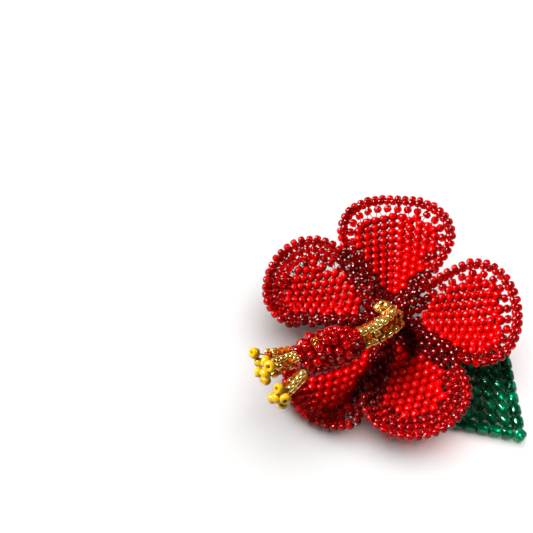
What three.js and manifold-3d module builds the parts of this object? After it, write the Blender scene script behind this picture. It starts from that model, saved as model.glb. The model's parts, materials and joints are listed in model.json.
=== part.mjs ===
import * as THREE from 'three';
import { mergeVertices } from 'three/addons/utils/BufferGeometryUtils.js';
import Module from 'manifold-3d';

// Hibiscus flower woven from glass seed beads: five cupped petals on a small back ring,
// a gold and red column with five yellow-tipped filaments, and one green leaf below.
// Millimetres, +Z up. The flower lies face up, leaning a little to the front left.

const wasm = await Module();
wasm.setup();

// Beads
const petalBead = { diameter: 2.3, dip: 0.6 };      // dip: how far the joints lie below a bead's crown
const leafBead = { diameter: 3.1, dip: 0.7, cornerDip: 1.15 };
const antherBead = { diameter: 2.65, length: 2.0 };
const gap = 0.3;                                     // clearance between pieces that touch

// Flower head: its centre stands above the back ring, and its plane leans
const headHeight = 6.2;
const headTilt = THREE.MathUtils.degToRad(14);
const headLean = THREE.MathUtils.degToRad(-125);     // direction on the table that the head leans to

// Petal weave: rounds of beads across each petal, one bead more in every round
const rounds = { count: 15, first: 3.6, pitch: 1.8, bend: 16 };
const rim = { widestAt: 21, fullness: 1.5, bluntness: 2.4 };
const picot = { out: 0.45, back: 0.15 };             // small loops round the free edge
const fieldRounds = { first: 3, last: 14, marginBeads: 1, marginGrowth: 0.18 };

// Seams between neighbouring petals: bearing in the head's plane and height of the raised ridge
const seams = {
  topRight: { bearing: 39.5, height: 5.6 },
  topLeft: { bearing: 121.6, height: 6.2 },
  left: { bearing: 186, height: 5.6 },
  bottom: { bearing: 250.5, height: 5.0 },
  right: { bearing: 318.5, height: 4.2 },
};
// Petals, anticlockwise from the top; from and to are the seams on either side
const petals = [
  { name: 'top', bearing: 82, from: 'topRight', to: 'topLeft', length: 33.0, halfWidth: 14.8,
    crease: 1.2, curl: 5.0, curlFrom: 14, lift: 0.04 },
  { name: 'left', bearing: 157, from: 'topLeft', to: 'left', length: 32.8, halfWidth: 12.8,
    crease: 1.8, curl: 8.5, curlFrom: 12, lift: 0.04 },
  { name: 'lower_left', bearing: 228, from: 'left', to: 'bottom', length: 33.8, halfWidth: 13.4,
    crease: 1.9, curl: 5.5, curlFrom: 14, lift: -0.027 },
  { name: 'lower_right', bearing: 282, from: 'bottom', to: 'right', length: 32.6, halfWidth: 13.2,
    crease: 1.9, curl: 4.5, curlFrom: 16, lift: 0.07 },
  { name: 'right', bearing: 357, from: 'right', to: 'topRight', length: 31.9, halfWidth: 13.9,
    crease: 1.8, curl: 4.0, curlFrom: 16, lift: 0.06 },
];

// Back ring that holds petals, column and leaf together, with a flat back
const backRing = {
  radius: 6.2, height: 3.1, neckRadius: 5.2, pinRadius: 2.9, pinTop: 0.9, sides: 24,
  beadRows: 3, bulge: 0.5, dip: 0.3,
};

// Column: it rises square to the head, then bends over; the rest of its centre line from the table up
const columnRise = 4.4;
const columnPath = [
  [-0.7, -4.6, 14.2], [-4.6, -8.8, 16.2],
  [-9.4, -11.6, 16.9], [-14.0, -13.9, 17.3], [-19.4, -15.8, 17.4], [-23.8, -18.2, 17.0],
];
const column = { goldShare: 0.575, sides: 14, steps: 18 };
// Two strands of beads stand out on the stem's front: the sides that carry them, counted
// from the first strand, which lies turned a little off the side that faces up and forward
const goldStem = {
  radius: 2.6, sides: 16, beads: 10, strandSides: [0, 12], facing: [-0.12, -0.55, 0.83], turn: 30,
  strandRise: 0.75, shoulderRise: 0.2, beadDip: 0.35, foot: 2.7, footSteps: 8,
};
const sleeve = { radius: 5.3, beadDip: 0.75, foot: 0.66, swell: 0.07, tip: 0.86 };
const filament = { count: 5, length: 6.6, radius: 1.55, beadDip: 0.3, ring: 3.3, splay: 0.34, sides: 6, steps: 6 };
const anther = { beads: 3, spread: 1.15, out: 0.35, lean: 0.8, turnPerFilament: 0.9 };

// Leaf: a lozenge of beads from its tip back to the flower's centre, flat on the table
const leaf = {
  tip: [29.3, -29.4], beads: 9, widest: 7.5,
  sidePitch: 3.25, sideBearing: 91, frontPitch: 2.97, frontBearing: 168.5,
};

const finish = {
  clearRed: { color: 0xa8000c, roughness: 0.08, metalness: 0.1 },
  opaqueRed: { color: 0xe00505, roughness: 0.18, metalness: 0 },
  gold: { color: 0xd9a032, roughness: 0.15, metalness: 0.7 },
  yellow: { color: 0xf6bf0a, roughness: 0.22, metalness: 0 },
  green: { color: 0x006b3c, roughness: 0.08, metalness: 0.2 },
};

const up = new THREE.Vector3(0, 0, 1);
const headTurn = new THREE.Quaternion().setFromAxisAngle(
  new THREE.Vector3(-Math.sin(headLean), Math.cos(headLean), 0), headTilt);
const headCentre = new THREE.Vector3(0, 0, headHeight);
const flower = new THREE.Group();

function onHead(x, y, height) {
  return new THREE.Vector3(x, y, height).applyQuaternion(headTurn).add(headCentre);
}

function addPiece(name, geometry, look) {
  geometry.computeVertexNormals();
  const piece = new THREE.Mesh(geometry, new THREE.MeshStandardMaterial(look));
  piece.name = name;
  flower.add(piece);
}

function geometryFrom(points, faces) {
  const geometry = new THREE.BufferGeometry();
  geometry.setAttribute('position', new THREE.Float32BufferAttribute(points.flatMap((p) => p.toArray()), 3));
  geometry.setIndex(faces.flat());
  return geometry;
}

// A sheet has an upper and a lower point at each node: close it along its border
function closeSheet(nodes, triangles) {
  const used = new Map();
  const points = [];
  const indexOf = (node) => {
    if (!used.has(node)) {
      used.set(node, points.length);
      points.push(nodes[node].upper, nodes[node].lower);
    }
    return used.get(node);
  };
  const faces = [];
  const edges = new Map();
  for (const [a, b, c] of triangles) {
    const [i, j, k] = [indexOf(a), indexOf(b), indexOf(c)];
    faces.push([i, j, k], [i + 1, k + 1, j + 1]);
    for (const [s, e] of [[i, j], [j, k], [k, i]]) {
      if (!edges.delete(`${e},${s}`)) edges.set(`${s},${e}`, [s, e]);
    }
  }
  for (const [s, e] of edges.values()) faces.push([s, s + 1, e], [e, s + 1, e + 1]);
  return geometryFrom(points, faces);
}

// Join two rows of nodes of unlike number with one band of triangles, whose edges
// run from joint to joint rather than from crown to crown, so that each bead stands out
function zip(nodes, rowA, rowB, triangles) {
  const cost = (a, b) => {
    if (a === undefined || b === undefined) return Infinity;
    const crowns = Number(nodes[a].isBead) + Number(nodes[b].isBead);
    return nodes[a].plan.distanceTo(nodes[b].plan) + 0.4 * petalBead.diameter * crowns;
  };
  let [i, j] = [0, 0];
  while (i < rowA.length - 1 || j < rowB.length - 1) {
    if (cost(rowA[i + 1], rowB[j]) < cost(rowA[i], rowB[j + 1])) {
      triangles.push([rowA[i], rowA[i + 1], rowB[j]].reverse());
      i += 1;
    } else {
      triangles.push([rowA[i], rowB[j], rowB[j + 1]]);
      j += 1;
    }
  }
}

// Part a sheet in two along the joints between its kinds of bead, with the gap between them
function splitSheet(nodes, triangles, kindOf) {
  const parts = new Map([['field', []], ['margin', []]]);
  const cuts = new Map();
  const cut = (own, other) => {
    const key = `${own}>${other}`;
    if (!cuts.has(key)) {
      const [p, q] = [nodes[own], nodes[other]];
      const share = 0.5 - gap / 2 / p.plan.distanceTo(q.plan);
      cuts.set(key, nodes.length);
      nodes.push({
        plan: p.plan.clone().lerp(q.plan, share),
        upper: p.upper.clone().lerp(q.upper, share),
        lower: p.lower.clone().lerp(q.lower, share),
      });
    }
    return cuts.get(key);
  };
  for (const triangle of triangles) {
    for (const [kind, list] of parts) {
      const inside = triangle.map((node) => kindOf[node] === kind);
      const count = inside.filter(Boolean).length;
      if (count === 3) list.push(triangle);
      if (count === 1) {
        const i = inside.indexOf(true);
        const [a, b, c] = [triangle[i], triangle[(i + 1) % 3], triangle[(i + 2) % 3]];
        list.push([a, cut(a, b), cut(a, c)]);
      }
      if (count === 2) {
        const i = inside.indexOf(false);
        const [c, a, b] = [triangle[i], triangle[(i + 1) % 3], triangle[(i + 2) % 3]];
        list.push([a, b, cut(b, c)], [a, cut(b, c), cut(a, c)]);
      }
    }
  }
  return parts;
}

// One petal: seam angles to either side of its own axis, its outline and its cupped height
function petalForm(petal) {
  const turn = THREE.MathUtils.degToRad(petal.bearing);
  const seamAngle = {
    '-1': THREE.MathUtils.degToRad(petal.bearing - seams[petal.from].bearing),
    1: THREE.MathUtils.degToRad(seams[petal.to].bearing - petal.bearing),
  };
  for (const side of [-1, 1]) {
    seamAngle[side] = ((seamAngle[side] % (2 * Math.PI)) + 2 * Math.PI) % (2 * Math.PI);
  }
  const seamHeight = { '-1': seams[petal.from].height, 1: seams[petal.to].height };

  const halfWidthAt = (x, side) => {
    const seamLine = x * Math.tan(seamAngle[side]) - gap / 2 / Math.cos(seamAngle[side]);
    if (x < rim.widestAt) {
      const back = 1 - x / rim.widestAt;
      return Math.min(seamLine, petal.halfWidth * (1 - back ** rim.fullness));
    }
    const ahead = Math.min((x - rim.widestAt) / (petal.length - rim.widestAt), 1);
    return Math.min(seamLine, petal.halfWidth * Math.sqrt(1 - ahead ** rim.bluntness));
  };
  const heightAt = (x, y) => {
    const radius = Math.hypot(x, y);
    const side = y < 0 ? -1 : 1;
    const across = Math.abs(Math.atan2(y, x)) / seamAngle[side];
    const growth = Math.min(radius / rounds.bend, 1);
    const cup = seamHeight[side] * growth * (1.5 - 0.5 * growth ** 2);
    const curl = Math.max(0, (radius - petal.curlFrom) / (petal.length - petal.curlFrom));
    return petal.lift * radius + cup * across ** petal.crease + petal.curl * curl ** 2;
  };
  const place = (x, y, rise) => {
    const [c, s] = [Math.cos(turn), Math.sin(turn)];
    return onHead(x * c - y * s, x * s + y * c, heightAt(x, y) + rise);
  };
  return { halfWidthAt, heightAt, place };
}

// Where a round of beads, an arc about a point on the petal's axis, meets the outline
function roundReach(form, centre, radius, side) {
  let [inner, outer] = [0, Math.PI * 0.6];
  for (let step = 0; step < 40; step += 1) {
    const angle = (inner + outer) / 2;
    const isInside = radius * Math.sin(angle) < form.halfWidthAt(centre + radius * Math.cos(angle), side);
    if (isInside) inner = angle;
    else outer = angle;
  }
  return inner;
}

function petalSheet(petal) {
  const form = petalForm(petal);
  const nodes = [];
  const kindOf = [];
  const rows = [];
  for (let k = 1; k <= rounds.count + 1; k += 1) {
    const isEdge = k === rounds.count + 1;
    const reach = isEdge ? petal.length - petalBead.diameter / 2 : rounds.first + (k - 1) * rounds.pitch;
    const radius = Math.min(reach, rounds.bend);
    const centre = reach - radius;
    const from = -roundReach(form, centre, radius, -1);
    const to = roundReach(form, centre, radius, 1);
    const beads = k + 1;
    const margin = Math.round(fieldRounds.marginBeads + fieldRounds.marginGrowth * (k - fieldRounds.first));
    const row = [];
    for (let j = 0; j <= 2 * beads; j += 1) {
      const isBead = j % 2 === 1;
      const isEnd = j === 0 || j === 2 * beads;
      const angle = from + ((to - from) * j) / (2 * beads);
      let out = 0;
      if (isEdge) out = isBead ? picot.out : -picot.back;
      if (isEnd && !isEdge && k % 2 === 0 && reach > rim.widestAt) out = picot.out;
      const x = centre + (radius + out) * Math.cos(angle);
      const y = (radius + out) * Math.sin(angle);
      const half = petalBead.diameter / 2 - (isBead ? 0 : petalBead.dip);
      const slope = (form.heightAt(x + 0.1, y) - form.heightAt(x - 0.1, y)) / 0.2;
      const slopeAcross = (form.heightAt(x, y + 0.1) - form.heightAt(x, y - 0.1)) / 0.2;
      const steep = Math.min(Math.hypot(1, slope, slopeAcross), 1.6);
      row.push(nodes.length);
      const inField = k >= fieldRounds.first && k <= fieldRounds.last
        && j > 2 * margin && j < 2 * (beads - margin);
      kindOf.push(inField ? 'field' : 'margin');
      nodes.push({
        isBead,
        plan: new THREE.Vector2(x, y),
        upper: form.place(x, y, half * steep),
        lower: form.place(x, y, -half * steep),
      });
    }
    rows.push(row);
  }
  const triangles = [];
  for (let k = 1; k < rows.length; k += 1) zip(nodes, rows[k - 1], rows[k], triangles);
  return { nodes, triangles, kindOf };
}

// A lathe-like shell: closed rings of points, joined in order, with a cap on each end
function shellFromRings(rings) {
  const sides = rings[0].length;
  const points = rings.flat();
  const faces = [];
  for (let r = 0; r < rings.length - 1; r += 1) {
    for (let i = 0; i < sides; i += 1) {
      const [a, b] = [r * sides + i, r * sides + ((i + 1) % sides)];
      if ((i + r) % 2) faces.push([a, b, b + sides], [a, b + sides, a + sides]);
      else faces.push([a, b, a + sides], [b, b + sides, a + sides]);
    }
  }
  for (const [ring, isLast] of [[0, false], [rings.length - 1, true]]) {
    const middle = points.length;
    const sum = rings[ring].reduce((total, p) => total.add(p), new THREE.Vector3());
    points.push(sum.divideScalar(sides));
    for (let i = 0; i < sides; i += 1) {
      const [a, b] = [ring * sides + i, ring * sides + ((i + 1) % sides)];
      faces.push(isLast ? [a, b, middle] : [b, a, middle]);
    }
  }
  return geometryFrom(points, faces);
}

// A tube along a centre line whose radius follows a formula of turn and step
function tubeAlong(curve, steps, sides, radiusAt, { from = 0, to = 1, facing = null, turn = 0 } = {}) {
  const rings = [];
  const side = new THREE.Vector3(1, 0, 0);
  for (let s = 0; s <= steps; s += 1) {
    if (facing) side.fromArray(facing);
    const at = from + ((to - from) * s) / steps;
    const along = curve.getTangentAt(at);
    side.sub(along.clone().multiplyScalar(side.dot(along))).normalize();
    const across = along.clone().cross(side);
    const ring = [];
    for (let i = 0; i < sides; i += 1) {
      const angle = (2 * Math.PI * i) / sides + THREE.MathUtils.degToRad(turn);
      const radius = radiusAt(i, s);
      ring.push(curve.getPointAt(at).clone()
        .addScaledVector(side, radius * Math.cos(angle))
        .addScaledVector(across, radius * Math.sin(angle)));
    }
    rings.push(ring);
  }
  return shellFromRings(rings);
}

function solidFrom(geometry) {
  const bare = geometry.clone();
  bare.deleteAttribute('normal');
  bare.deleteAttribute('uv');
  const merged = mergeVertices(bare);
  return new wasm.Manifold(new wasm.Mesh({
    numProp: 3,
    vertProperties: new Float32Array(merged.attributes.position.array),
    triVerts: new Uint32Array(merged.index.array),
  }));
}

function geometryOf(solid) {
  const mesh = solid.getMesh();
  const geometry = new THREE.BufferGeometry();
  geometry.setAttribute('position', new THREE.BufferAttribute(mesh.vertProperties, 3));
  geometry.setIndex(new THREE.BufferAttribute(mesh.triVerts, 1));
  return geometry;
}

// Petals
for (const petal of petals) {
  const { nodes, triangles, kindOf } = petalSheet(petal);
  const parts = splitSheet(nodes, triangles, kindOf);
  addPiece(`petal_${petal.name}_margin`, closeSheet(nodes, parts.get('margin')), finish.clearRed);
  addPiece(`petal_${petal.name}_field`, closeSheet(nodes, parts.get('field')), finish.opaqueRed);
}

// Back ring: an upright drum with rows of beads round it, a leaning neck and a centre pin
function makeBackRing() {
  const levels = 2 * backRing.beadRows;
  const drumRings = Array.from({ length: levels + 1 }, (_, level) => (
    Array.from({ length: backRing.sides }, (_, i) => {
      const isBead = level % 2 === 1 && (i + (level - 1) / 2) % 2 === 0;
      const isJoint = level % 2 === 1 && !isBead;
      const radius = backRing.radius - (isBead ? 0 : backRing.bulge) + (isJoint ? backRing.dip : 0);
      const angle = (2 * Math.PI * i) / backRing.sides;
      return new THREE.Vector3(
        radius * Math.cos(angle), radius * Math.sin(angle), (backRing.height * level) / levels);
    })
  ));
  const leaning = (radius, from, to) => {
    const shape = new THREE.CylinderGeometry(radius, radius, to - from, backRing.sides);
    shape.rotateX(Math.PI / 2).translate(0, 0, (from + to) / 2);
    return shape.applyQuaternion(headTurn).translate(0, 0, headHeight);
  };
  const under = -petalBead.diameter / 2 - gap;
  const neck = leaning(backRing.neckRadius, -headHeight + backRing.height - 1, under);
  const pin = leaning(backRing.pinRadius, under - 1, backRing.pinTop);
  return geometryOf(solidFrom(shellFromRings(drumRings)).add(solidFrom(neck)).add(solidFrom(pin)));
}
addPiece('back_ring', makeBackRing(), finish.clearRed);

// Column: a gold stem with two raised strands, and a thick sleeve of red beads
const columnFoot = backRing.pinTop + 1.5 * gap;
const centreLine = new THREE.CatmullRomCurve3([
  onHead(0, 0, columnFoot), onHead(0, 0, columnFoot + 1), onHead(0, 0, columnRise),
  ...columnPath.map((p) => new THREE.Vector3(...p)),
]);
const endDirection = centreLine.getTangentAt(1);
const stemRadius = (i, s) => {
  const offStrand = Math.min(...goldStem.strandSides.map((strand) => {
    const apart = Math.abs(i - strand);
    return Math.min(apart, goldStem.sides - apart);
  }));
  const rise = [goldStem.strandRise, goldStem.shoulderRise][offStrand] ?? 0;
  const isBead = offStrand < 2 ? s % 2 === 1 : (i + Math.floor(s / 2)) % 2 === 1;
  const radius = goldStem.radius + rise - (isBead ? 0 : goldStem.beadDip);
  return s < goldStem.footSteps ? Math.min(radius, goldStem.foot) : radius;
};
addPiece('column_gold',
  tubeAlong(centreLine, 2 * goldStem.beads, goldStem.sides, stemRadius,
    { to: column.goldShare, facing: goldStem.facing, turn: goldStem.turn }),
  finish.gold);
const sleeveRadius = (i, s) => {
  const taper = Math.min(1, sleeve.foot + sleeve.swell * s, sleeve.tip + sleeve.swell * (column.steps - s));
  return sleeve.radius * taper - ((i + s) % 2 ? sleeve.beadDip : 0);
};
const gapShare = gap / centreLine.getLength();
addPiece('column_sleeve',
  tubeAlong(centreLine, column.steps, column.sides, sleeveRadius, { from: column.goldShare + gapShare }),
  finish.clearRed);

// Five filaments round the sleeve's end, each tipped with three yellow beads
const endSide = new THREE.Vector3().crossVectors(endDirection, up).normalize();
const endRise = endSide.clone().cross(endDirection);
for (let f = 0; f < filament.count; f += 1) {
  const angle = Math.PI / 2 + (2 * Math.PI * f) / filament.count;
  const outward = endSide.clone().multiplyScalar(Math.cos(angle)).addScaledVector(endRise, Math.sin(angle));
  const root = centreLine.getPointAt(1).addScaledVector(endDirection, gap).addScaledVector(outward, filament.ring);
  const direction = endDirection.clone().addScaledVector(outward, filament.splay).normalize();
  const start = root.clone().addScaledVector(direction, filament.radius * filament.splay);
  const end = root.clone().addScaledVector(direction, filament.length);
  const rope = new THREE.LineCurve3(start, end);
  const ropeRadius = (i, s) => filament.radius - ((i + s) % 2 ? filament.beadDip : 0);
  addPiece(`filament_${f + 1}`, tubeAlong(rope, filament.steps, filament.sides, ropeRadius), finish.gold);

  const tip = end.clone().addScaledVector(direction, gap + antherBead.diameter / 2);
  let cluster = null;
  for (let b = 0; b < anther.beads; b += 1) {
    const turn = (2 * Math.PI * b) / anther.beads + anther.turnPerFilament * f;
    const sideways = new THREE.Vector3().crossVectors(direction, up).normalize();
    const upward = sideways.clone().cross(direction);
    const away = sideways.multiplyScalar(Math.cos(turn)).addScaledVector(upward, Math.sin(turn));
    const bead = new THREE.SphereGeometry(antherBead.diameter / 2, 8, 6);
    bead.scale(1, antherBead.length / antherBead.diameter, 1);
    const hole = direction.clone().addScaledVector(away, anther.lean).normalize();
    bead.applyQuaternion(new THREE.Quaternion().setFromUnitVectors(new THREE.Vector3(0, 1, 0), hole));
    const place = tip.clone().addScaledVector(away, anther.spread).addScaledVector(direction, anther.out * b);
    bead.translate(place.x, place.y, place.z);
    cluster = cluster ? cluster.add(solidFrom(bead)) : solidFrom(bead);
  }
  addPiece(`anther_${f + 1}`, geometryOf(cluster), finish.yellow);
}

// Leaf: a lozenge of beads with its inner corner cut away round the back ring
function leafSheet() {
  const bearing = (degrees) => {
    const angle = THREE.MathUtils.degToRad(degrees);
    return new THREE.Vector2(Math.cos(angle), Math.sin(angle));
  };
  const [alongSide, alongFront] = [bearing(leaf.sideBearing), bearing(leaf.frontBearing)];
  const middleHeight = leafBead.diameter / 2;
  const steps = 2 * leaf.beads - 1;
  const nodes = [];
  for (let a = 0; a <= steps + 1; a += 1) {
    for (let b = 0; b <= steps + 1; b += 1) {
      const [p, q] = [a, b].map((step) => THREE.MathUtils.clamp(step, 0.1, steps + 0.9) / 2 - 0.5);
      const plan = new THREE.Vector2(...leaf.tip)
        .addScaledVector(alongSide, p * leaf.sidePitch).addScaledVector(alongFront, q * leaf.frontPitch);
      const joints = Number(a % 2 === 0) + Number(b % 2 === 0);
      const half = middleHeight - [0, leafBead.dip, leafBead.cornerDip][joints];
      nodes.push({
        upper: new THREE.Vector3(plan.x, plan.y, middleHeight + half),
        lower: new THREE.Vector3(plan.x, plan.y, middleHeight - half),
      });
    }
  }
  const triangles = [];
  for (let a = 0; a <= steps; a += 1) {
    for (let b = 0; b <= steps; b += 1) {
      if (Math.abs(a - b) > 2 * leaf.widest) continue;
      const [n00, n10] = [a * (steps + 2) + b, (a + 1) * (steps + 2) + b];
      const [n01, n11] = [n00 + 1, n10 + 1];
      if ((a + b) % 2 === 0) triangles.push([n00, n10, n11], [n00, n11, n01]);
      else triangles.push([n00, n10, n01], [n10, n11, n01]);
    }
  }
  const sheet = solidFrom(closeSheet(nodes, triangles));
  const room = new THREE.CylinderGeometry(backRing.radius + gap, backRing.radius + gap,
    4 * leafBead.diameter, backRing.sides);
  return geometryOf(sheet.subtract(solidFrom(room.rotateX(Math.PI / 2))));
}
addPiece('leaf', leafSheet(), finish.green);

// Stand the whole flower with the middle of its box over the origin
const box = new THREE.Box3().setFromObject(flower);
const middle = box.getCenter(new THREE.Vector3());
flower.position.set(-middle.x, -middle.y, -box.min.z);

export default flower;
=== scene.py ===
import bpy, bmesh, json, math, random
from mathutils import Matrix, Quaternion, Vector, kdtree

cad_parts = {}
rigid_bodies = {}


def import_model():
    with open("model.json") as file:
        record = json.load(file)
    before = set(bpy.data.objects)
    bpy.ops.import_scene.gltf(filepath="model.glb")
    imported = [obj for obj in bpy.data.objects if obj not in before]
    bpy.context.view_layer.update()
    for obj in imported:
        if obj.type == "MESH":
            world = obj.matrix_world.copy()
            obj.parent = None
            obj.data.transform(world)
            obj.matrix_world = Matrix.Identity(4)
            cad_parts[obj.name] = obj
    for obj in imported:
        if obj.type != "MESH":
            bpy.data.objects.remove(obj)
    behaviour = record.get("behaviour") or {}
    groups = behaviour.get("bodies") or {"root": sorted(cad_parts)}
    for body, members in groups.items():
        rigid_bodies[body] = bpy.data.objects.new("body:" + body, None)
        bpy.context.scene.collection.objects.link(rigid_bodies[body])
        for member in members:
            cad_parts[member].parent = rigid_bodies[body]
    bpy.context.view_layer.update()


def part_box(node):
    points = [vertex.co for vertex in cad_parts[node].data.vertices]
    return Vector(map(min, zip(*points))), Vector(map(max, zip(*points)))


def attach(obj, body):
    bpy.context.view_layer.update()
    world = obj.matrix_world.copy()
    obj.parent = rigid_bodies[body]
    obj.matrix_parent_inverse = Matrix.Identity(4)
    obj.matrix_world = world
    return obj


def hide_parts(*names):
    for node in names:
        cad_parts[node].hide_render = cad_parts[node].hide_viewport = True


# A hibiscus flower woven from glass seed beads. Millimetres while beads are laid out,
# measured from the flower's upright axis on the table; metres in the finished meshes.

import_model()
chance = random.Random(27)
mm = 0.001

ringLow, ringHigh = (Vector(corner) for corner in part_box("back_ring"))
flowerAxis = Vector(((ringLow.x + ringHigh.x) / 2, (ringLow.y + ringHigh.y) / 2, 0))


def onTable(place):
    return flowerAxis + place * mm


# the photograph's angle, 54 degrees down
viewpoint = {"place": (-31.795, -124.234, 201.186), "pitch": 36, "lens": 60.79}
camera = bpy.data.objects.new("camera", bpy.data.cameras.new("camera"))
camera.data.lens = viewpoint["lens"]
camera.location = onTable(Vector(viewpoint["place"]))
camera.rotation_euler = (math.radians(viewpoint["pitch"]), 0, 0)
bpy.context.scene.collection.objects.link(camera)
bpy.context.scene.camera = camera
print("camera set")


# grain that all the finishes share; depths in metres
glassGrain = {"streakScale": 900, "streakDetail": 3, "bumpScale": 700, "bumpDetail": 2,
              "bumpDepth": 0.00012, "coatRoughness": 0.02}


def startFinish(name):
    finish = bpy.data.materials.new(name)
    finish.use_nodes = True
    nodes, links = finish.node_tree.nodes, finish.node_tree.links
    return finish, nodes, links, nodes["Principled BSDF"]


def addBump(nodes, links, shader, coords, scale, strength):
    grain = nodes.new("ShaderNodeTexNoise")
    grain.inputs["Scale"].default_value = scale
    grain.inputs["Detail"].default_value = glassGrain["bumpDetail"]
    links.new(coords.outputs["Object"], grain.inputs["Vector"])
    bump = nodes.new("ShaderNodeBump")
    bump.inputs["Distance"].default_value = glassGrain["bumpDepth"]
    bump.inputs["Strength"].default_value = strength
    links.new(grain.outputs["Fac"], bump.inputs["Height"])
    links.new(bump.outputs["Normal"], shader.inputs["Normal"])


def beadFinish(name, look):
    # every bead has its own tint value, and faint streaks run through the glass
    finish, nodes, links, shader = startFinish(name)
    coords = nodes.new("ShaderNodeTexCoord")
    tint = nodes.new("ShaderNodeAttribute")
    tint.attribute_name = "tint"
    streaks = nodes.new("ShaderNodeTexNoise")
    streaks.inputs["Scale"].default_value = glassGrain["streakScale"]
    streaks.inputs["Detail"].default_value = glassGrain["streakDetail"]
    links.new(coords.outputs["Object"], streaks.inputs["Vector"])
    blend = nodes.new("ShaderNodeMath")
    blend.operation = "MULTIPLY_ADD"
    blend.inputs[1].default_value = look["streaks"]
    links.new(streaks.outputs["Fac"], blend.inputs[0])
    links.new(tint.outputs["Fac"], blend.inputs[2])
    colours = nodes.new("ShaderNodeValToRGB")
    colours.color_ramp.elements[0].color = (*look["dark"], 1)
    colours.color_ramp.elements[0].position = look.get("darkShare", 0)
    colours.color_ramp.elements[1].color = (*look["light"], 1)
    links.new(blend.outputs["Value"], colours.inputs["Fac"])
    links.new(colours.outputs["Color"], shader.inputs["Base Color"])
    wear = nodes.new("ShaderNodeMapRange")
    wear.inputs["To Min"].default_value = look["roughness"][0]
    wear.inputs["To Max"].default_value = look["roughness"][1]
    links.new(streaks.outputs["Fac"], wear.inputs["Value"])
    links.new(wear.outputs["Result"], shader.inputs["Roughness"])
    shader.inputs["IOR"].default_value = look.get("ior", 1.5)
    shader.inputs["Metallic"].default_value = look.get("metallic", 0)
    shader.inputs["Transmission Weight"].default_value = look.get("clear", 0)
    shader.inputs["Specular IOR Level"].default_value = look.get("gloss", 0.5)
    shader.inputs["Coat Weight"].default_value = look.get("coat", 0)
    shader.inputs["Coat Roughness"].default_value = glassGrain["coatRoughness"]
    addBump(nodes, links, shader, coords, look.get("grain", glassGrain["bumpScale"]), look.get("bump", 0.2))
    return finish


finishes = {
    "opaqueRed": beadFinish("opaqueRedGlass", {
        "dark": (0.27, 0.0, 0.0), "light": (0.45, 0.0, 0.0), "streaks": 0.3,
        "roughness": (0.0, 0.04), "gloss": 0.23, "bump": 0.01}),
    # clearRed and litRed are one red glass painted two ways: clearRed is its own dark red, painted darker
    # still with the shade that the woven beads of the seams and the root lie in; litRed is painted much
    # lighter, as lit through, for the rim and sleeve beads
    "clearRed": beadFinish("shadedClearRedGlass", {
        "dark": (0.12, 0.0, 0.0), "light": (0.32, 0.0, 0.0), "streaks": 0.35,
        "roughness": (0.0, 0.03), "clear": 0.76, "ior": 1.42, "gloss": 0.26, "bump": 0.01}),
    "litRed": beadFinish("litRedGlass", {
        "dark": (0.42, 0.0, 0.0), "light": (0.92, 0.0, 0.0), "streaks": 0.35,
        "roughness": (0.0, 0.04), "clear": 0.84, "ior": 1.42, "gloss": 0.2, "bump": 0.01}),
    "silverLining": beadFinish("silverLining", {
        "dark": (0.5, 0.48, 0.46), "light": (0.75, 0.73, 0.7), "streaks": 0.6,
        "roughness": (0.3, 0.45), "metallic": 1.0, "grain": 2600, "bump": 0.01}),
    "goldGlass": beadFinish("goldGlass", {
        "dark": (0.5, 0.15, 0.004), "light": (1.0, 0.68, 0.17), "darkShare": 0.05, "streaks": 0.45,
        "roughness": (0.16, 0.24), "metallic": 0.85, "coat": 0.6, "bump": 0.003}),
    "amberGlass": beadFinish("amberGlass", {
        "dark": (0.6, 0.07, 0.0), "light": (0.95, 0.26, 0.004), "streaks": 0.4,
        "roughness": (0.0, 0.05), "clear": 0.88, "ior": 1.42, "gloss": 0.3, "bump": 0.02}),
    # the gold beads' hole walls are painted dark brown with the shade seen down the hole
    "shadedGoldHole": beadFinish("shadedGoldHole", {
        "dark": (0.12, 0.05, 0.01), "light": (0.3, 0.15, 0.03), "streaks": 0.6,
        "roughness": (0.3, 0.45), "metallic": 0.7, "grain": 2600, "bump": 0.04}),
    "yellow": beadFinish("opaqueYellowGlass", {
        "dark": (0.42, 0.21, 0.0), "light": (0.52, 0.29, 0.0), "streaks": 0.35,
        "roughness": (0.02, 0.08), "gloss": 0.4, "bump": 0.03}),
    "greenGlass": beadFinish("emeraldGlass", {
        "dark": (0.0, 0.13, 0.04), "light": (0.0, 0.62, 0.26), "streaks": 0.5,
        "roughness": (0.0, 0.03), "clear": 0.98, "ior": 1.47, "gloss": 0.36, "bump": 0.005}),
    "clearThread": beadFinish("clearThread", {
        "dark": (0.2, 0.1, 0.08), "light": (0.32, 0.22, 0.18), "streaks": 0.5,
        "roughness": (0.2, 0.4), "clear": 0.4, "grain": 1800}),
    "redThread": beadFinish("redThread", {
        "dark": (0.1, 0.001, 0.001), "light": (0.18, 0.004, 0.003), "streaks": 0.5,
        "roughness": (0.35, 0.6), "gloss": 0.3, "grain": 2600}),
    "greenThread": beadFinish("greenThread", {
        "dark": (0.0, 0.03, 0.01), "light": (0.005, 0.08, 0.03), "streaks": 0.5,
        "roughness": (0.35, 0.6), "gloss": 0.2, "grain": 2600}),
}
print("finishes made:", len(finishes))

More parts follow.
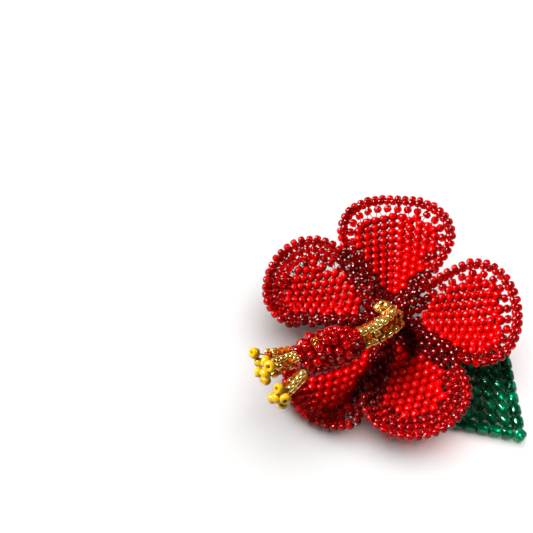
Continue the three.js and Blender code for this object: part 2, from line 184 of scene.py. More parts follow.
# millimetres; shoulder, belly and the hole's edge are shares of the bead's radius and half length
holeEdge = 0.8
beadSizes = {
    "opaqueRed": {"diameter": 2.62, "length": 2.14, "hole": 0.5, "shoulder": 0.5,
        "belly": ((0.84, 0.75), (1, 0.27)), "sides": 10,
        "glass": "opaqueRed", "lining": "opaqueRed"},
    "clearRed": {"diameter": 2.34, "length": 1.9, "hole": 0.8, "shoulder": 0.62,
        "belly": ((0.91, 0.7), (1, 0.2)), "sides": 10,
        "glass": "clearRed", "lining": "silverLining"},
    # the rim's beads and the sleeve's loose beads wear the red glass painted lighter, as if lit through
    "edgeRed": {"diameter": 1.95, "length": 1.68, "hole": 0.5, "shoulder": 0.52,
        "belly": ((0.87, 0.74), (1, 0.26)), "sides": 10,
        "glass": "litRed", "lining": "silverLining"},
    "openRed": {"diameter": 2.3, "length": 1.8, "hole": 0.7, "shoulder": 0.56,
        "belly": ((0.89, 0.74), (1, 0.24)), "sides": 10,
        "glass": "litRed", "lining": "silverLining"},
    "looseRed": {"diameter": 2.25, "length": 1.65, "hole": 1.05, "shoulder": 0.72,
        "belly": ((0.95, 0.6), (1, 0.2)), "sides": 10,
        "glass": "litRed", "lining": "litRed"},
    # its hole wall is painted dark with the shade down the hole
    "gold": {"diameter": 2.25, "length": 2.1, "hole": 1.0, "shoulder": 0.76,
        "belly": ((0.95, 0.72), (1, 0.3)), "sides": 14,
        "glass": "goldGlass", "lining": "shadedGoldHole"},
    "amber": {"diameter": 2.2, "length": 1.9, "hole": 0.8, "shoulder": 0.74,
        "belly": ((0.95, 0.66), (1, 0.2)), "sides": 12,
        "glass": "amberGlass", "lining": "goldGlass"},
    "yellow": {"diameter": 2.7, "length": 1.95, "hole": 0.75, "shoulder": 0.6,
        "belly": ((0.88, 0.74), (1, 0.24)), "sides": 14,
        "glass": "yellow", "lining": "yellow"},
    "green": {"diameter": 3.05, "length": 2.75, "hole": 1.5, "shoulder": 0.76,
        "belly": ((0.96, 0.74), (1, 0.4)), "sides": 14,
        "glass": "greenGlass", "lining": "silverLining"},
}
shapes = {}


def turnBead(name, size):
    # half a profile from hole to belly, mirrored and spun round the hole
    wall = bmesh.new()
    outer, half, hole = size["diameter"] / 2 * mm, size["length"] / 2 * mm, size["hole"] / 2 * mm
    corners = [(hole, -holeEdge * half), (size["shoulder"] * outer, -half)]
    corners += [(outer * x, -half * z) for x, z in size["belly"]]
    corners += [(x, -z) for x, z in reversed(corners)]
    profile = [wall.verts.new((x, 0, z)) for x, z in corners]
    edges = [wall.edges.new(pair) for pair in zip(profile, profile[1:] + profile[:1])]
    bmesh.ops.spin(wall, geom=profile + edges, cent=(0, 0, 0), axis=(0, 0, 1),
                   angle=2 * math.pi, steps=size["sides"], use_merge=True)
    bmesh.ops.remove_doubles(wall, verts=wall.verts, dist=1e-7)
    bmesh.ops.recalc_face_normals(wall, faces=wall.faces)
    for face in wall.faces:
        face.smooth = True
        isHole = all(math.hypot(v.co.x, v.co.y) < hole * 1.05 for v in face.verts)
        face.material_index = 1 if isHole else 0
    mesh = bpy.data.meshes.new(name)
    wall.to_mesh(mesh)
    wall.free()
    shapes[name] = (mesh, [size["glass"], size["lining"]])


for name, size in beadSizes.items():
    turnBead(name, size)
print("bead shapes turned:", len(shapes))

# no two beads are quite alike, and tints leave room for the streaks in the glass
beadPlay = {"width": (0.97, 1.03), "length": (0.93, 1.04), "tint": 0.75}
threadShape = {"radius": 0.11, "sides": 6}


def anyDirection():
    turn, rise = chance.uniform(0, 2 * math.pi), chance.uniform(-1, 1)
    flat = math.sqrt(1 - rise * rise)
    return Vector((flat * math.cos(turn), flat * math.sin(turn), rise))


def bead(shape, place, hole, size=1.0, loose=0.07):
    hole = (hole.normalized() + anyDirection() * loose).normalized()
    width, length = size * chance.uniform(*beadPlay["width"]), size * chance.uniform(*beadPlay["length"])
    matrix = Matrix.Translation(onTable(place)) @ hole.to_track_quat("Z", "Y").to_matrix().to_4x4()
    matrix = matrix @ Matrix.Rotation(chance.uniform(0, 2 * math.pi), 4, "Z")
    return shape, matrix @ Matrix.Diagonal((width, width, length, 1)), chance.random() * beadPlay["tint"]


def thread(finish, start, end, radius=threadShape["radius"]):
    return finish, start, end, radius


def makePiece(name, beads, threads=()):
    # copies the turned beads and round threads into one mesh and hands it to the part
    used = []
    for finish in [f for shape, _, _ in beads for f in shapes[shape][1]] + [t[0] for t in threads]:
        if finish not in used:
            used.append(finish)
    whole, tints = bmesh.new(), []
    for shape, matrix, tint in beads:
        mesh, ownFinishes = shapes[shape]
        firstVert, firstFace = len(whole.verts), len(whole.faces)
        whole.from_mesh(mesh)
        whole.verts.ensure_lookup_table()
        whole.faces.ensure_lookup_table()
        bmesh.ops.transform(whole, matrix=matrix, verts=whole.verts[firstVert:])
        for face in whole.faces[firstFace:]:
            face.material_index = used.index(ownFinishes[face.material_index])
        tints += [tint] * (len(whole.verts) - firstVert)
    for finish, start, end, radius in threads:
        firstVert, firstFace = len(whole.verts), len(whole.faces)
        along = end - start
        place = Matrix.Translation(onTable((start + end) / 2))
        place = place @ along.to_track_quat("Z", "Y").to_matrix().to_4x4()
        bmesh.ops.create_cone(whole, cap_ends=True, segments=threadShape["sides"], radius1=radius * mm,
                              radius2=radius * mm, depth=along.length * mm, matrix=place)
        whole.faces.ensure_lookup_table()
        for face in whole.faces[firstFace:]:
            face.material_index = used.index(finish)
            face.smooth = len(face.verts) == 4
        tints += [chance.random() * beadPlay["tint"]] * (len(whole.verts) - firstVert)
    mesh = bpy.data.meshes.new(name)
    whole.to_mesh(mesh)
    whole.free()
    mesh.attributes.new("tint", "FLOAT", "POINT").data.foreach_set("value", tints)
    for finish in used:
        mesh.materials.append(finishes[finish])
    piece = bpy.data.objects.new(name, mesh)
    bpy.context.scene.collection.objects.link(piece)
    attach(piece, "root")
    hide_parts(name)
    print(name, len(beads), "beads,", len(mesh.polygons), "faces")


# the flower's head: its plane leans a little to the front left
head = {"height": 6.2, "tilt": 14, "lean": -125}
lean = math.radians(head["lean"])
headTurn = Quaternion(Vector((-math.sin(lean), math.cos(lean), 0)), math.radians(head["tilt"]))
headUp = headTurn @ Vector((0, 0, 1))


def onHead(x, y, rise):
    return headTurn @ Vector((x, y, rise)) + Vector((0, 0, head["height"]))


# seams between petals: bearing from the centre and height at the bend
seams = {"topRight": (39.5, 5.6), "topLeft": (121.6, 6.2), "left": (186, 5.6), "bottom": (250.5, 5.0),
         "right": (318.5, 4.2)}
petals = [
    {"name": "top", "bearing": 82, "from": "topRight", "to": "topLeft", "length": 33.0, "halfWidth": 14.8,
     "crease": 1.2, "curl": 5.0, "curlFrom": 14, "lift": 0.04, "lay": "columns"},
    {"name": "left", "bearing": 157, "from": "topLeft", "to": "left", "length": 32.8, "halfWidth": 12.8,
     "crease": 1.8, "curl": 8.5, "curlFrom": 12, "lift": 0.04, "lay": "rows"},
    {"name": "lower_left", "bearing": 228, "from": "left", "to": "bottom", "length": 33.8,
     "halfWidth": 13.4, "crease": 1.9, "curl": 5.5, "curlFrom": 14, "lift": -0.027, "lay": "rows"},
    {"name": "lower_right", "bearing": 282, "from": "bottom", "to": "right", "length": 32.6,
     "halfWidth": 13.2, "crease": 1.9, "curl": 4.5, "curlFrom": 16, "lift": 0.07, "lay": "rows"},
    {"name": "right", "bearing": 357, "from": "right", "to": "topRight", "length": 31.9, "halfWidth": 13.9,
     "crease": 1.8, "curl": 4.0, "curlFrom": 16, "lift": 0.06, "lay": "columns"},
]
petalShape = {"bend": 16, "widestAt": 21, "fullness": 1.5, "bluntness": 2.25, "trim": 0.05, "gap": 0.3,
              "start": 2, "samples": 60}
# the field is laid in columns or in rows; rim rows are pairs of inset and pitch
weave = {"spacing": 2.48, "columnPitch": 2.04, "fan": 0.005, "rowPitch": 1.98, "rowSpacing": 2.42,
         "lines": 9, "first": 3.2, "firstOpaque": 8.0, "opaqueIn": {"columns": 4.5, "rows": 6.6},
         "focus": 20, "fillStep": 0.5, "surfaceStep": 0.2, "tipRow": 0.4, "probe": 0.1, "probeAside": 0.6}
rim = {"picotIn": 0.6, "picotPitch": 2.05, "picotSize": 1.04, "picotLoose": 0.25, "picotLift": (-0.25, 0.4),
       "edgeIn": 1.5, "edgePitch": 1.68, "openSize": 0.97, "openLoose": 0.3, "clear": 2.75,
       "rows": {"columns": ((3.4, 2.7),), "rows": ((3.3, 1.95), (5.1, 1.95))}}
seamWeave = {"start": 0.5, "step": 1.87, "spacing": 2.34, "band": 3.0, "reach": 12, "clear": 4.0, "over": 0.3}
# how close beads may lie, and how they ease apart
closeness = {"touch": 1.62, "room": 1.55, "ease": 1.88, "rounds": 10, "pushFixed": 0.8, "pushFree": 0.5,
             "share": 0.5, "fullSize": 1.85, "leastSize": 0.8}
petalThread = {"radius": 0.1, "least": 0.1, "reach": 2.6, "neighbours": 5}


def petalForm(petal):
    turn = math.radians(petal["bearing"])
    seamAngle = {-1: math.radians((petal["bearing"] - seams[petal["from"]][0]) % 360),
                 1: math.radians((seams[petal["to"]][0] - petal["bearing"]) % 360)}
    seamHeight = {-1: seams[petal["from"]][1], 1: seams[petal["to"]][1]}
    length = petal["length"] - petalShape["trim"]
    halfWidth, widest = petal["halfWidth"], petalShape["widestAt"]

    def widthAt(x, side):
        # half the petal's width at a distance out, and what bounds it there
        seamLine = x * math.tan(seamAngle[side]) - petalShape["gap"] / 2 / math.cos(seamAngle[side])
        if x < widest:
            free = halfWidth * (1 - (1 - x / widest) ** petalShape["fullness"])
        else:
            ahead = min((x - widest) / (length - widest), 1)
            free = halfWidth * math.sqrt(max(0, 1 - ahead ** petalShape["bluntness"]))
        return (seamLine, "seam") if seamLine < free else (free, "rim")

    def heightAt(x, y):
        # the cup rises to the seams, and the rim curls up past its start
        reach, side = math.hypot(x, y), (-1 if y < 0 else 1)
        across = abs(math.atan2(y, x)) / seamAngle[side]
        growth = min(reach / petalShape["bend"], 1)
        cup = seamHeight[side] * growth * (1.5 - 0.5 * growth ** 2)
        curl = max(0, (reach - petal["curlFrom"]) / (petal["length"] - petal["curlFrom"]))
        return petal["lift"] * reach + cup * across ** petal["crease"] + petal["curl"] * curl ** 2

    def place(x, y):
        c, s = math.cos(turn), math.sin(turn)
        return onHead(x * c - y * s, x * s + y * c, heightAt(x, y))

    return {"widthAt": widthAt, "place": place, "length": length, "seamAngle": seamAngle}


def petalOutline(form):
    # the outline from one seam round the tip to the other: plan point, inward direction, kind
    halves = []
    start, count = petalShape["start"], petalShape["samples"]
    widest, length = petalShape["widestAt"], form["length"]
    for side in (-1, 1):
        xs = [start + (widest - start) * k / count for k in range(count)]
        xs += [widest + (length - widest) * math.sin(math.pi / 2 * k / count) for k in range(count + 1)]
        line = [(x, *form["widthAt"](x, side)) for x in xs]
        line = [(Vector((x, side * width)), kind) for x, width, kind in line if width > 0 or x > widest]
        halves.append(line if side < 0 else list(reversed(line))[1:])
    outline = halves[0] + halves[1]
    marked = []
    for k, (point, kind) in enumerate(outline):
        before, after = outline[max(k - 1, 0)][0], outline[min(k + 1, len(outline) - 1)][0]
        along = (after - before).normalized()
        inward = Vector((-along.y, along.x))
        if kind == "rim":
            kind = "tip" if -inward.x > 0.5 else "side"
        marked.append((point, inward, kind))
    return marked


def evenly(form, line, pitch):
    # plan points spaced evenly along a line on the petal's surface, with the line's direction
    spots = [form["place"](p.x, p.y) for p in line]
    reach = [0]
    for a, b in zip(spots, spots[1:]):
        reach.append(reach[-1] + (b - a).length)
    count = max(1, round(reach[-1] / pitch))
    points, k = [], 0
    for n in range(count):
        goal = reach[-1] * (n + 0.5) / count
        while reach[k + 1] < goal:
            k += 1
        share = (goal - reach[k]) / max(reach[k + 1] - reach[k], 1e-6)
        points.append((line[k].lerp(line[k + 1], share), (line[k + 1] - line[k]).normalized()))
    return points


def walkIn(form, step):
    # distances from the centre that lie one step apart on the petal's middle line, counted from the tip row
    place, probe, aside = form["place"], weave["probe"], weave["probeAside"]
    xs, x = [], form["length"] - weave["opaqueIn"]["columns"] - weave["tipRow"]
    while x > weave["first"]:
        xs.append(x)
        slope = (place(x + probe, aside) - place(x - probe, aside)).length / (2 * probe)
        x -= step / slope
    return xs


def stepAside(form, start, direction, distance):
    # the plan point a given distance away along the petal's surface
    spot, step = start, direction * weave["surfaceStep"]
    while distance > 0:
        gone = (form["place"](*(spot + step)) - form["place"](*spot)).length
        if gone > distance:
            return spot + step * distance / gone
        spot, distance = spot + step, distance - gone
    return spot


def seamLattice(form, petal, side, end):
    # beads beside a seam with their holes along it; every second stack starts half a bead further in
    angle, height = form["seamAngle"][side], seams[petal["to" if side > 0 else "from"]][1]
    along = Vector((math.cos(angle), side * math.sin(angle)))
    inward = Vector((math.sin(angle), -side * math.cos(angle)))
    spots, reach, k = [], weave["first"] + seamWeave["start"], 0
    while reach < end:
        start = along * reach + inward * petalShape["gap"] / 2
        inset = seamWeave["spacing"] * (0.5 if k % 2 == 0 else 0 if side > 0 else 1)
        while inset < seamWeave["reach"]:
            spots.append((stepAside(form, start, inward, inset), along, inset))
            inset += seamWeave["spacing"]
        slope = height * 1.5 / petalShape["bend"] * max(0, 1 - (reach / petalShape["bend"]) ** 2)
        reach, k = reach + seamWeave["step"] / math.hypot(1, slope), k + 1
    return spots


def onSurface(form, spot, direction):
    place, probe = form["place"], direction * weave["probe"]
    return place(*spot), (place(*(spot + probe)) - place(*(spot - probe))).normalized()


def fieldLattice(form, lay):
    # the weave's lines from the petal's middle outwards, each half a bead further on than the last
    spots, step = [], weave["columnPitch"] / 2 if lay == "columns" else weave["rowPitch"]
    for k, x in enumerate(walkIn(form, step)):
        for side in (-1, 1):
            if lay == "columns":
                asides = [(column + 0.5) * weave["spacing"] * (1 + weave["fan"] * (x - form["length"]))
                          for column in range(k % 2, weave["lines"], 2)]
            else:
                asides = [(row + 0.5 * (k % 2)) * weave["rowSpacing"]
                          for row in range(weave["lines"]) if row or k % 2 or side > 0]
            middle, across = Vector((x, 0)), Vector((0, side))
            spots += [(stepAside(form, middle, across, aside), None) for aside in asides]
    return spots


def kindFinder(form, lay, outline):
    border = [(form["place"](*p), kind) for p, _, kind in outline]

    def kindAt(spot):
        # opaque in the field, clear beside a seam and near the centre, none under the rim's own beads
        width, _ = form["widthAt"](spot.x, -1 if spot.y < 0 else 1)
        if abs(spot.y) >= width or spot.length < weave["first"]:
            return None
        at = form["place"](*spot)
        depth, zone = min(((at - p).length, kind) for p, kind in border)
        bare = weave["opaqueIn"][lay] if zone == "tip" and lay == "columns" else rim["clear"]
        if zone != "seam" and depth < bare:
            return None
        clearTo = seamWeave["clear"] if zone == "seam" else weave["opaqueIn"][lay]
        return "clear" if spot.x < weave["firstOpaque"] or depth < clearTo else "opaque"

    return kindAt


def layPetal(petal, form):
    # where every bead goes: rim and seams first, then the field, the seams' rows up to it, and single fillers
    place, lay, outline = form["place"], petal["lay"], petalOutline(form)
    freeRim = [(p, inward) for p, inward, kind in outline if kind != "seam"]
    kindAt = kindFinder(form, lay, outline)

    def besideRim(inset):
        return [stepAside(form, p, inward, inset) for p, inward in freeRim]

    def fitting(spots, room):
        # the spots that stay clear of every bead laid before them
        kept = []
        for spot, direction in spots:
            at = place(*spot)
            if all((at - other).length > room for other in taken):
                kept.append((spot, direction))
                taken.append(at)
        return kept

    edge = evenly(form, besideRim(rim["edgeIn"]), rim["edgePitch"])
    picots = evenly(form, besideRim(rim["picotIn"]), rim["picotPitch"])
    taken = [place(*spot) for spot, _ in edge]
    seamSpots, rimRows = [], []
    for side in (-1, 1):
        end = max(p.length for p, _, kind in outline if kind == "seam" and p.y * side > 0)
        laid = seamLattice(form, petal, side, end)
        seamSpots += [entry for entry in laid if entry[0].y * side > -seamWeave["over"]]
    besideSeam = [(spot, along) for spot, along, inset in seamSpots if inset < seamWeave["band"]]
    seamRows = fitting(besideSeam, closeness["touch"])
    for inset, pitch in rim["rows"][lay]:
        rimRows += fitting(evenly(form, besideRim(inset), pitch), closeness["touch"])
    lattice = [spot for spot in fieldLattice(form, lay) if kindAt(spot[0]) == "opaque"]
    free = [[spot, "opaque", None] for spot, _ in fitting(lattice, closeness["touch"])]
    band = [(spot, along) for spot, along, inset in seamSpots if inset >= seamWeave["band"] and kindAt(spot)]
    free += [[spot, "clear", along] for spot, along in fitting(band, closeness["touch"])]
    between = [(Vector((x, y)) * weave["fillStep"], None) for x in range(6, 66) for y in range(-32, 33)]
    fill = fitting([b for b in between if kindAt(b[0])], closeness["room"])
    free += [[spot, kindAt(spot), None] for spot, _ in fill]
    return {"edge": edge, "picots": picots, "seamRows": seamRows, "rimRows": rimRows, "free": free}


def searchTree(places):
    tree = kdtree.KDTree(len(places))
    for k, at in enumerate(places):
        tree.insert(at, k)
    tree.balance()
    return tree


def easeApart(form, laid):
    # move the free beads away from any that lie closer than they can
    fixed, free = laid["edge"] + laid["rimRows"] + laid["seamRows"], laid["free"]
    for _ in range(closeness["rounds"]):
        spots = [spot for spot, _ in fixed] + [entry[0] for entry in free]
        places = [form["place"](*spot) for spot in spots]
        tree = searchTree(places)
        for k in range(len(fixed), len(spots)):
            push = Vector((0, 0))
            for _, other, distance in tree.find_range(places[k], closeness["ease"]):
                if other != k and distance > 0:
                    away = (spots[k] - spots[other]).normalized()
                    force = closeness["pushFixed" if other < len(fixed) else "pushFree"]
                    push += away * (closeness["ease"] - distance) * force
            free[k - len(fixed)][0] = spots[k] + push * closeness["share"]
    return tree


def petalBeads(form, laid, tree):
    opaque, clear = [], []
    for spot, kind, along in laid["free"]:
        # a bead in a tight place is a smaller one
        beads, shape = (opaque, "opaqueRed") if kind == "opaque" else (clear, "clearRed")
        nearest = tree.find_n(form["place"](*spot), 2)[1][2]
        size = min(1, max(closeness["leastSize"], nearest / closeness["fullSize"]))
        direction = along or (spot + Vector((weave["focus"], 0))).normalized()
        beads.append(bead(shape, *onSurface(form, spot, direction), size=size))
    for spot, direction in laid["seamRows"]:
        clear.append(bead("clearRed", *onSurface(form, spot, direction)))
    for spot, direction in laid["rimRows"]:
        at, along = onSurface(form, spot, direction.orthogonal())
        clear.append(bead("openRed", at, along, size=rim["openSize"], loose=rim["openLoose"]))
    for spot, direction in laid["edge"]:
        clear.append(bead("edgeRed", *onSurface(form, spot, direction)))
    for spot, direction in laid["picots"]:
        at, along = onSurface(form, spot, direction)
        at += headUp * chance.uniform(*rim["picotLift"])
        clear.append(bead("edgeRed", at, along, size=rim["picotSize"], loose=rim["picotLoose"]))
    return opaque, clear


def petalThreads(form, laid, tree):
    # thread shows where the weave opens out towards the rim
    place, threads = form["place"], []
    field = [place(*spot) for spot, kind, _ in laid["free"] if kind == "opaque"]
    string = [place(*spot) for spot, _ in laid["edge"]]

    def tie(finish, at, line):
        for other in sorted(line, key=lambda p: (p - at).length)[:2]:
            threads.append(thread(finish, at, other))

    for spot, _ in laid["rimRows"]:
        tie("clearThread", place(*spot), field)
        tie("redThread", place(*spot), string)
    threads += [thread("redThread", a, b) for a, b in zip(string, string[1:])]
    for spot, _ in laid["picots"]:
        tie("redThread", place(*spot), string)
    # elsewhere it runs close between neighbouring clear beads; there its dark red web also closes the gaps
    # and stands in for the shade that darkens them
    woven = [spot for spot, _ in laid["seamRows"]]
    woven += [spot for spot, kind, _ in laid["free"] if kind == "clear"]
    for at in [place(*spot) for spot in woven]:
        near = tree.find_n(at, petalThread["neighbours"])
        near = [hit for hit in near if petalThread["least"] < hit[2] < petalThread["reach"]]
        threads += [thread("redThread", at, other, petalThread["radius"]) for other, _, _ in near]
    return threads


def weavePetal(petal):
    form = petalForm(petal)
    laid = layPetal(petal, form)
    tree = easeApart(form, laid)
    opaque, clear = petalBeads(form, laid, tree)
    makePiece(f"petal_{petal['name']}_field", opaque)
    makePiece(f"petal_{petal['name']}_margin", clear, petalThreads(form, laid, tree))


for petal in petals:
    weavePetal(petal)

# a lozenge of larger green beads, flat on the table under two of the petals
leaf = {"tip": (29.3, -29.4), "sidePitch": 3.25, "frontPitch": 2.97, "beads": 9, "widest": 7.3,
        "sideBearing": 91, "frontBearing": 168.5, "clearance": 7.9, "rise": 1.58, "threadRadius": 0.14,
        "edgeLoose": 0.05, "innerLoose": 0.14}


def weaveLeaf():
    towards = [Vector((math.cos(math.radians(b)), math.sin(math.radians(b)), 0))
               for b in (leaf["sideBearing"], leaf["frontBearing"])]
    # the two edges' beads lie along them, the rest along the diagonal
    tip = Vector((*leaf["tip"], leaf["rise"]))
    diagonal = (towards[0] + towards[1]).normalized()
    beads, threads, spots = [], [], {}
    for a in range(leaf["beads"]):
        for b in range(leaf["beads"]):
            place = tip + towards[0] * a * leaf["sidePitch"] + towards[1] * b * leaf["frontPitch"]
            if abs(a - b) > leaf["widest"] or math.hypot(place.x, place.y) < leaf["clearance"]:
                continue
            spots[a, b] = place
            hole = towards[0] if b == 0 and a else towards[1] if a == 0 and b else diagonal
            beads.append(bead("green", place, hole, loose=leaf["edgeLoose" if a * b == 0 else "innerLoose"]))
    for (a, b), place in spots.items():
        step = (1, 0) if b == 0 else (0, 1) if a == 0 else (1, 1)
        other = spots.get((a + step[0], b + step[1]))
        if other:
            threads.append(thread("greenThread", place, other, leaf["threadRadius"]))
    makePiece("leaf", beads, threads)


weaveLeaf()

# tiers of clear red beads round the flower's root, flat at the back; each tier has a radius and a count
ring = {"tierRise": 1.55, "tiers": 2, "lift": 0.02, "beadSize": 0.86, "outer": (5.15, 15),
        "inner": (2.95, 8), "core": (0.05, 1), "neck": (4.2, 12), "neckRise": -2.6,
        "pin": (1.75, 5), "pinRises": (-2.5, -0.95, 0.4)}


def weaveRing():
    beads = []

    def tier(height, radius, count, shift=0, leaning=False):
        for k in range(count):
            turn = 2 * math.pi * (k + shift) / count
            x, y = radius * math.cos(turn), radius * math.sin(turn)
            place = onHead(x, y, height) if leaning else Vector((x, y, height))
            hole = headUp if leaning else Vector((0, 0, 1))
            beads.append(bead("clearRed", place, hole, ring["beadSize"], loose=0.03))

    for level in range(ring["tiers"]):
        height = ring["tierRise"] * (level + 0.5) + ring["lift"]
        tier(height, *ring["outer"], shift=0.5 * level)
        tier(height, *ring["inner"], shift=0.5 * level)
        tier(height, *ring["core"])
    tier(ring["neckRise"], *ring["neck"], leaning=True)
    for height in ring["pinRises"]:
        tier(height, *ring["pin"], shift=height, leaning=True)
    makePiece("back_ring", beads)


weaveRing()

# the line that the column's stem and sleeve follow: up from the head, then over to the front left
column = {"foot": 1.35, "rise": 4.4, "stemShare": 0.575, "facing": (-0.12, -0.55, 0.83),
          "bends": ((-0.7, -4.6, 14.2), (-4.6, -8.8, 16.2), (-9.4, -11.6, 16.9),
                    (-14.0, -13.9, 17.3), (-19.4, -15.8, 17.4), (-23.8, -18.2, 17.0))}


def smoothLine(points, steps=16):
    # an even curve through the points, tighter where they lie close together
    ends = [points[0] * 2 - points[1], *points, points[-1] * 2 - points[-2]]
    curve = []
    for p0, p1, p2, p3 in zip(ends, ends[1:], ends[2:], ends[3:]):
        d0, d1, d2 = (math.sqrt((b - a).length) for a, b in ((p0, p1), (p1, p2), (p2, p3)))
        out = ((p1 - p0) / d0 - (p2 - p0) / (d0 + d1) + (p2 - p1) / d1) * d1
        into = ((p2 - p1) / d1 - (p3 - p1) / (d1 + d2) + (p3 - p2) / d2) * d1
        for k in range(steps):
            t = k / steps
            curve.append(p1 * (2 * t ** 3 - 3 * t ** 2 + 1) + out * (t ** 3 - 2 * t ** 2 + t)
                         + p2 * (3 * t ** 2 - 2 * t ** 3) + into * (t ** 3 - t ** 2))
    return curve + [points[-1]]


upright = [onHead(0, 0, rise) for rise in (column["foot"], column["foot"] + 1, column["rise"])]
centreLine = smoothLine(upright + [Vector(place) for place in column["bends"]])
lineReach = [0]
for before, after in zip(centreLine, centreLine[1:]):
    lineReach.append(lineReach[-1] + (after - before).length)
columnLength = lineReach[-1]
stemLength = columnLength * column["stemShare"]


def alongColumn(distance):
    # a point on the centre line, the line's direction there, and the side that faces up and forward
    k = max(1, next((n for n, reach in enumerate(lineReach) if reach >= distance), len(lineReach) - 1))
    share = (distance - lineReach[k - 1]) / (lineReach[k] - lineReach[k - 1])
    place = centreLine[k - 1].lerp(centreLine[k], share)
    along = (centreLine[k] - centreLine[k - 1]).normalized()
    facing = Vector(column["facing"])
    facing = (facing - along * facing.dot(along)).normalized()
    return place, along, facing


# two raised strands on a packed layer; turns in degrees round the centre line
stem = {"beads": 10, "strandTurns": (30, -60), "strandRadius": 2.25, "footBeads": 4, "footRadius": 1.7,
        "packTurns": (-15, 84, 138, 192, 246), "packRadius": 1.82, "packFoot": 1.4, "packGrowth": 0.1,
        "packSize": 0.96, "wander": 6, "knobSize": 1.02,
        "knob": (((-1.75, -1.2, 15.0), (0.7, -0.7, -0.2)), ((-2.75, -0.1, 14.2), (-0.1, -0.5, 0.85)),
                 ((-3.75, -0.2, 13.0), (0.5, 0.5, 0.2)))}


def weaveStem():
    beads = []
    pitch = stemLength / stem["beads"]
    for k in range(stem["beads"]):
        for turn in stem["strandTurns"]:
            place, along, facing = alongColumn(pitch * (k + 0.5))
            radius = stem["footRadius"] if k < stem["footBeads"] else stem["strandRadius"]
            turn = math.radians(turn)
            out = facing * math.cos(turn) + along.cross(facing) * math.sin(turn)
            beads.append(bead("gold", place + out * radius, along, 1.0, loose=0.05))
        radius = min(stem["packRadius"], stem["packFoot"] + stem["packGrowth"] * k)
        for n, turn in enumerate(stem["packTurns"]):
            place, along, facing = alongColumn(pitch * (k + (1 if n % 2 == 0 else 0.5)))
            turn = math.radians(turn + stem["wander"] * math.sin(k))
            out = facing * math.cos(turn) + along.cross(facing) * math.sin(turn)
            shape = "gold" if (k + n) % 4 == 3 else "amber"
            beads.append(bead(shape, place + out * radius, along, stem["packSize"], loose=0.12))
    # the first strand's end shows behind the stem's bend
    for spot, hole in stem["knob"]:
        beads.append(bead("gold", Vector(spot), Vector(hole), stem["knobSize"]))
    makePiece("column_gold", beads)


weaveStem()

# tangled loops: beads strewn in layers (depth, tightness) and eased apart
sleeve = {"radius": 5.3, "foot": 0.66, "swell": 0.07, "tip": 0.86, "steps": 18,
          "layers": ((1.25, 1.0), (3.1, 0.9)), "start": 0.6, "end": 0.4, "pitch": 1.95, "spacing": 2.05,
          "strewAround": 0.2, "strewAlong": 0.3, "strewDepth": (-0.35, 0.45), "apart": 1.8, "rounds": 5,
          "push": 0.4, "share": 0.6, "sizes": (0.92, 1.05), "amberShare": 0.06}


def sleeveRadius(share):
    step = share * sleeve["steps"]
    return sleeve["radius"] * min(1, sleeve["foot"] + sleeve["swell"] * step,
                                  sleeve["tip"] + sleeve["swell"] * (sleeve["steps"] - step))


def weaveSleeve():
    spots, beads = [], []
    start = stemLength + sleeve["start"]
    length = columnLength - stemLength - sleeve["start"] - sleeve["end"]
    for inward, tightness in sleeve["layers"]:
        rings = round(length / sleeve["pitch"])
        for k in range(rings + 1):
            share = k / rings
            place, along, facing = alongColumn(start + length * share)
            across = along.cross(facing)
            radius = sleeveRadius(share) - inward
            around = max(3, int(2 * math.pi * radius / (sleeve["spacing"] / tightness)))
            for n in range(around):
                strewn = chance.uniform(-sleeve["strewAround"], sleeve["strewAround"])
                turn = 2 * math.pi * (n + 0.5 * (k % 2) + strewn) / around
                out = facing * math.cos(turn) + across * math.sin(turn)
                spot = place + out * (radius + chance.uniform(*sleeve["strewDepth"]))
                spot += along * chance.uniform(-sleeve["strewAlong"], sleeve["strewAlong"])
                spots.append([spot, out])
    for _ in range(sleeve["rounds"]):
        tree = searchTree([spot for spot, _ in spots])
        for k, entry in enumerate(spots):
            push = Vector((0, 0, 0))
            for near, other, distance in tree.find_range(entry[0], sleeve["apart"]):
                if other != k and distance > 0:
                    push += (entry[0] - near).normalized() * (sleeve["apart"] - distance) * sleeve["push"]
            entry[0] = entry[0] + push * sleeve["share"]
    for spot, out in spots:
        swirl = anyDirection()
        hole = (swirl - out * swirl.dot(out) * 0.5).normalized()
        shape = chance.choice(("openRed", "looseRed", "looseRed"))
        if chance.random() < sleeve["amberShare"]:
            shape = "amber"
        beads.append(bead(shape, spot, hole, chance.uniform(*sleeve["sizes"])))
    makePiece("column_sleeve", beads)


weaveSleeve()

# filaments stand in a ring round the sleeve's end, each a short rope of three strands
filament = {"count": 5, "ahead": 0.3, "ring": 3.3, "splay": 0.34, "start": 0.53, "length": 6.6,
            "strands": 3, "strandRadius": 0.69, "pitch": 1.62, "beadSize": 0.78, "loose": 0.08,
            "firstTurn": 0.5, "twistPerBead": 0.22, "turnPerFilament": 1.3}
anther = {"beads": 3, "spread": 1.55, "out": 0.5, "ahead": 1.625, "lean": 0.8, "loose": 0.2,
          "turnPerFilament": 0.9, "threadRadius": 0.14, "threadRoot": 0.3}


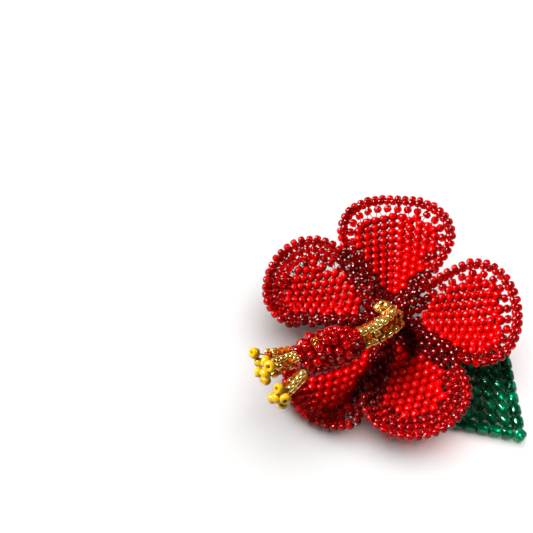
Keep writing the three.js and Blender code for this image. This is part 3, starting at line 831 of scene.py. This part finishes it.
def weaveFilaments():
    tipPlace, along = centreLine[-1], (centreLine[-1] - centreLine[-2]).normalized()
    up = Vector((0, 0, 1))
    endSide = along.cross(up).normalized()
    endRise = endSide.cross(along)
    for f in range(filament["count"]):
        angle = math.pi / 2 + 2 * math.pi * f / filament["count"]
        outward = endSide * math.cos(angle) + endRise * math.sin(angle)
        root = tipPlace + along * filament["ahead"] + outward * filament["ring"]
        direction = (along + outward * filament["splay"]).normalized()
        start, end = root + direction * filament["start"], root + direction * filament["length"]
        sideways = direction.cross(up).normalized()
        upward = sideways.cross(direction)
        # one rope of beads, then its anther on three short threads
        beads = []
        count = round((end - start).length / filament["pitch"])
        for strand in range(filament["strands"]):
            for k in range(count):
                turn = 2 * math.pi * strand / filament["strands"] + filament["firstTurn"]
                turn += filament["twistPerBead"] * k + filament["turnPerFilament"] * f
                out = sideways * math.cos(turn) + upward * math.sin(turn)
                spot = start.lerp(end, (k + 0.5) / count) + out * filament["strandRadius"]
                shape = "amber" if strand and (k + f) % 3 else "gold"
                beads.append(bead(shape, spot, direction, filament["beadSize"], loose=filament["loose"]))
        makePiece(f"filament_{f + 1}", beads)
        tips, threads = [], []
        middle = end + direction * anther["ahead"]
        for b in range(anther["beads"]):
            turn = 2 * math.pi * b / anther["beads"] + anther["turnPerFilament"] * f
            away = sideways * math.cos(turn) + upward * math.sin(turn)
            spot = middle + away * anther["spread"] + direction * anther["out"] * b
            tips.append(bead("yellow", spot, direction + away * anther["lean"], loose=anther["loose"]))
            tied = end - direction * anther["threadRoot"]
            threads.append(thread("clearThread", tied, spot, anther["threadRadius"]))
        makePiece(f"anther_{f + 1}", tips, threads)


weaveFilaments()

# table and light, in metres
floorSettings = {"size": 4.0, "shade": (0.93, 0.925, 0.92), "roughness": 0.7}
lamps = {
    "keyLight": {"place": (-0.76, 0.2, 0.88), "size": 0.6, "power": 48, "lights": "flower"},
    "sideLight": {"place": (0.85, 0.1, 0.78), "size": 0.2, "power": 1.9, "lights": "flower"},
    "tableLight": {"place": (0.15, 0.35, 1.5), "size": 2.8, "power": 52, "lights": "table"},
}
skyStrength = 0.01

plane = bmesh.new()
bmesh.ops.create_grid(plane, x_segments=1, y_segments=1, size=floorSettings["size"] / 2)
floorMesh = bpy.data.meshes.new("floor")
plane.to_mesh(floorMesh)
plane.free()
floor = bpy.data.objects.new("floor", floorMesh)
bpy.context.scene.collection.objects.link(floor)
floorFinish, nodes, links, shader = startFinish("paleTable")
shader.inputs["Base Color"].default_value = (*floorSettings["shade"], 1)
shader.inputs["Roughness"].default_value = floorSettings["roughness"]
floorMesh.materials.append(floorFinish)

# the table has its own lamp, so that it stays pale while the flower keeps its depth
litBy = {"flower": bpy.data.collections.new("flowerPieces"), "table": bpy.data.collections.new("tableTop")}
for thing in bpy.context.scene.objects:
    if thing.type == "MESH":
        litBy["table" if thing == floor else "flower"].objects.link(thing)


def softLight(name, settings):
    light = bpy.data.lights.new(name, "AREA")
    light.shape, light.size, light.energy = "DISK", settings["size"], settings["power"]
    lamp = bpy.data.objects.new(name, light)
    lamp.location = settings["place"]
    lamp.rotation_euler = (-Vector(settings["place"])).to_track_quat("-Z", "Y").to_euler()
    lamp.light_linking.receiver_collection = litBy[settings["lights"]]
    bpy.context.scene.collection.objects.link(lamp)


for name, settings in lamps.items():
    softLight(name, settings)
world = bpy.data.worlds.new("studio")
world.use_nodes = True
world.node_tree.nodes["Background"].inputs["Color"].default_value = (1, 1, 1, 1)
world.node_tree.nodes["Background"].inputs["Strength"].default_value = skyStrength
bpy.context.scene.world = world
bpy.context.scene.view_settings.view_transform = "Standard"
print("table and light set")
